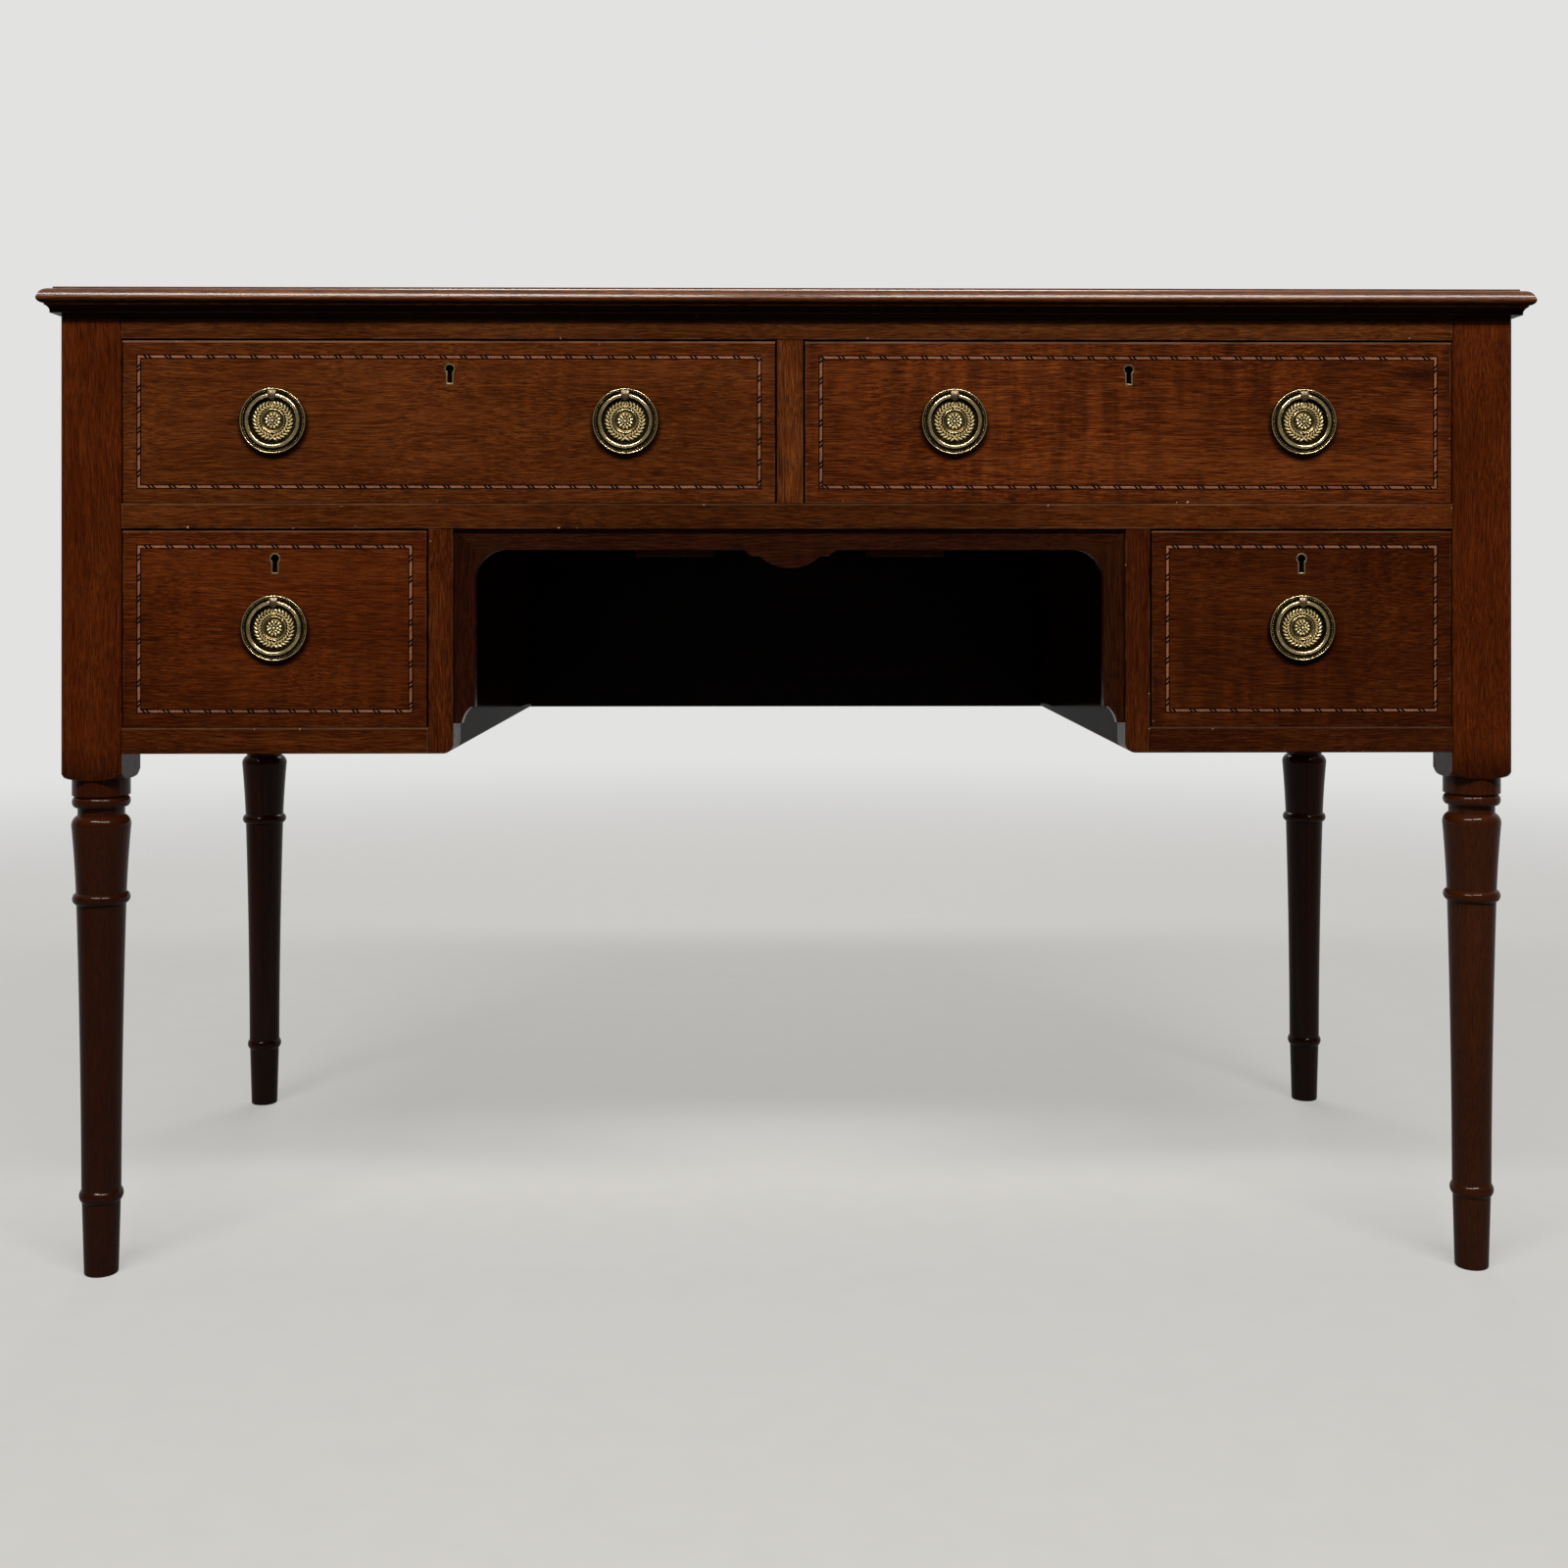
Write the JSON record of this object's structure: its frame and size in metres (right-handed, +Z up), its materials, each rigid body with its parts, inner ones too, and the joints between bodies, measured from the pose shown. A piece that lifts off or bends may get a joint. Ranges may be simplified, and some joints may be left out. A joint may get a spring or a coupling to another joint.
{
  "type": "kneehole writing table",
  "caption": "Mahogany kneehole writing table on turned tapered legs, with moulded top, shaped apron, string-inlaid dovetailed drawers, locks and brass ring pulls.",
  "frame": {"origin": "on the floor under the middle of the top", "axes": "+Z up, +X to the right of a person facing the drawers, the drawers face -Y"},
  "size_m": [1.144, 0.55, 0.762],
  "materials": {
    "mahogany": "french polished",
    "drawer_lining": "bare planed oak",
    "stringing": "polished inlay",
    "leather": "tooled, satin",
    "brass": "aged, patinated",
    "lock_brass": "plain, dull"
  },
  "bodies": {
    "carcass": {"table_top": "mahogany", "writing_leather": "leather", "front_left_leg": "mahogany", "front_right_leg": "mahogany", "back_left_leg": "mahogany", "back_right_leg": "mahogany", "left_end_panel": "mahogany", "right_end_panel": "mahogany", "back_panel": "mahogany", "top_front_rail": "mahogany", "middle_front_rail": "mahogany", "lower_front_rails": "mahogany", "upper_muntin": "mahogany", "kneehole_stiles": "mahogany", "left_kneehole_panel": "mahogany", "right_kneehole_panel": "mahogany", "kneehole_apron": "mahogany", "apron_returns": "mahogany", "apron_glue_blocks": "drawer_lining", "drawer_runners": "drawer_lining", "drawer_kickers": "drawer_lining", "drawer_stops": "drawer_lining"},
    "upper_left_drawer": {"upper_left_drawer_front": "mahogany", "upper_left_drawer_sides": "drawer_lining", "upper_left_drawer_back": "drawer_lining", "upper_left_drawer_bottom": "drawer_lining", "upper_left_drawer_stringing": "stringing", "upper_left_drawer_lock_case": "lock_brass", "upper_left_drawer_brasses": "brass"},
    "upper_left_drawer_lock_bolt": {"upper_left_drawer_lock_bolt": "lock_brass"},
    "upper_left_outer_ring": {"upper_left_outer_ring": "brass"},
    "upper_left_inner_ring": {"upper_left_inner_ring": "brass"},
    "upper_right_drawer": {"upper_right_drawer_front": "mahogany", "upper_right_drawer_sides": "drawer_lining", "upper_right_drawer_back": "drawer_lining", "upper_right_drawer_bottom": "drawer_lining", "upper_right_drawer_stringing": "stringing", "upper_right_drawer_lock_case": "lock_brass", "upper_right_drawer_brasses": "brass"},
    "upper_right_drawer_lock_bolt": {"upper_right_drawer_lock_bolt": "lock_brass"},
    "upper_right_inner_ring": {"upper_right_inner_ring": "brass"},
    "upper_right_outer_ring": {"upper_right_outer_ring": "brass"},
    "lower_left_drawer": {"lower_left_drawer_front": "mahogany", "lower_left_drawer_sides": "drawer_lining", "lower_left_drawer_back": "drawer_lining", "lower_left_drawer_bottom": "drawer_lining", "lower_left_drawer_stringing": "stringing", "lower_left_drawer_lock_case": "lock_brass", "lower_left_drawer_brasses": "brass"},
    "lower_left_drawer_lock_bolt": {"lower_left_drawer_lock_bolt": "lock_brass"},
    "lower_left_ring": {"lower_left_ring": "brass"},
    "lower_right_drawer": {"lower_right_drawer_front": "mahogany", "lower_right_drawer_sides": "drawer_lining", "lower_right_drawer_back": "drawer_lining", "lower_right_drawer_bottom": "drawer_lining", "lower_right_drawer_stringing": "stringing", "lower_right_drawer_lock_case": "lock_brass", "lower_right_drawer_brasses": "brass"},
    "lower_right_drawer_lock_bolt": {"lower_right_drawer_lock_bolt": "lock_brass"},
    "lower_right_ring": {"lower_right_ring": "brass"}
  },
  "joints": [
    {"name": "upper_left_drawer_slide", "type": "slide", "parent": "carcass", "child": "upper_left_drawer", "axis": [0, -1, 0], "range_m": [0, 0.34]},
    {"name": "upper_left_drawer_lock_bolt_slide", "type": "slide", "parent": "upper_left_drawer", "child": "upper_left_drawer_lock_bolt", "axis": [0, 0, 1], "range_m": [0, 0.007]},
    {"name": "upper_left_outer_ring_swing", "type": "hinge", "parent": "upper_left_drawer", "child": "upper_left_outer_ring", "pos_m": [-0.3958, -0.2646, 0.6798], "axis": [-1, 0, 0], "range_deg": [0, 95]},
    {"name": "upper_left_inner_ring_swing", "type": "hinge", "parent": "upper_left_drawer", "child": "upper_left_inner_ring", "pos_m": [-0.1264, -0.2646, 0.6798], "axis": [-1, 0, 0], "range_deg": [0, 95]},
    {"name": "upper_right_drawer_slide", "type": "slide", "parent": "carcass", "child": "upper_right_drawer", "axis": [0, -1, 0], "range_m": [0, 0.34]},
    {"name": "upper_right_drawer_lock_bolt_slide", "type": "slide", "parent": "upper_right_drawer", "child": "upper_right_drawer_lock_bolt", "axis": [0, 0, 1], "range_m": [0, 0.007]},
    {"name": "upper_right_inner_ring_swing", "type": "hinge", "parent": "upper_right_drawer", "child": "upper_right_inner_ring", "pos_m": [0.1264, -0.2646, 0.6798], "axis": [-1, 0, 0], "range_deg": [0, 95]},
    {"name": "upper_right_outer_ring_swing", "type": "hinge", "parent": "upper_right_drawer", "child": "upper_right_outer_ring", "pos_m": [0.3958, -0.2646, 0.6798], "axis": [-1, 0, 0], "range_deg": [0, 95]},
    {"name": "lower_left_drawer_slide", "type": "slide", "parent": "carcass", "child": "lower_left_drawer", "axis": [0, -1, 0], "range_m": [0, 0.34]},
    {"name": "lower_left_drawer_lock_bolt_slide", "type": "slide", "parent": "lower_left_drawer", "child": "lower_left_drawer_lock_bolt", "axis": [0, 0, 1], "range_m": [0, 0.007]},
    {"name": "lower_left_ring_swing", "type": "hinge", "parent": "lower_left_drawer", "child": "lower_left_ring", "pos_m": [-0.39475, -0.2646, 0.52105], "axis": [-1, 0, 0], "range_deg": [0, 95]},
    {"name": "lower_right_drawer_slide", "type": "slide", "parent": "carcass", "child": "lower_right_drawer", "axis": [0, -1, 0], "range_m": [0, 0.34]},
    {"name": "lower_right_drawer_lock_bolt_slide", "type": "slide", "parent": "lower_right_drawer", "child": "lower_right_drawer_lock_bolt", "axis": [0, 0, 1], "range_m": [0, 0.007]},
    {"name": "lower_right_ring_swing", "type": "hinge", "parent": "lower_right_drawer", "child": "lower_right_ring", "pos_m": [0.39475, -0.2646, 0.52105], "axis": [-1, 0, 0], "range_deg": [0, 95]}
  ]
}
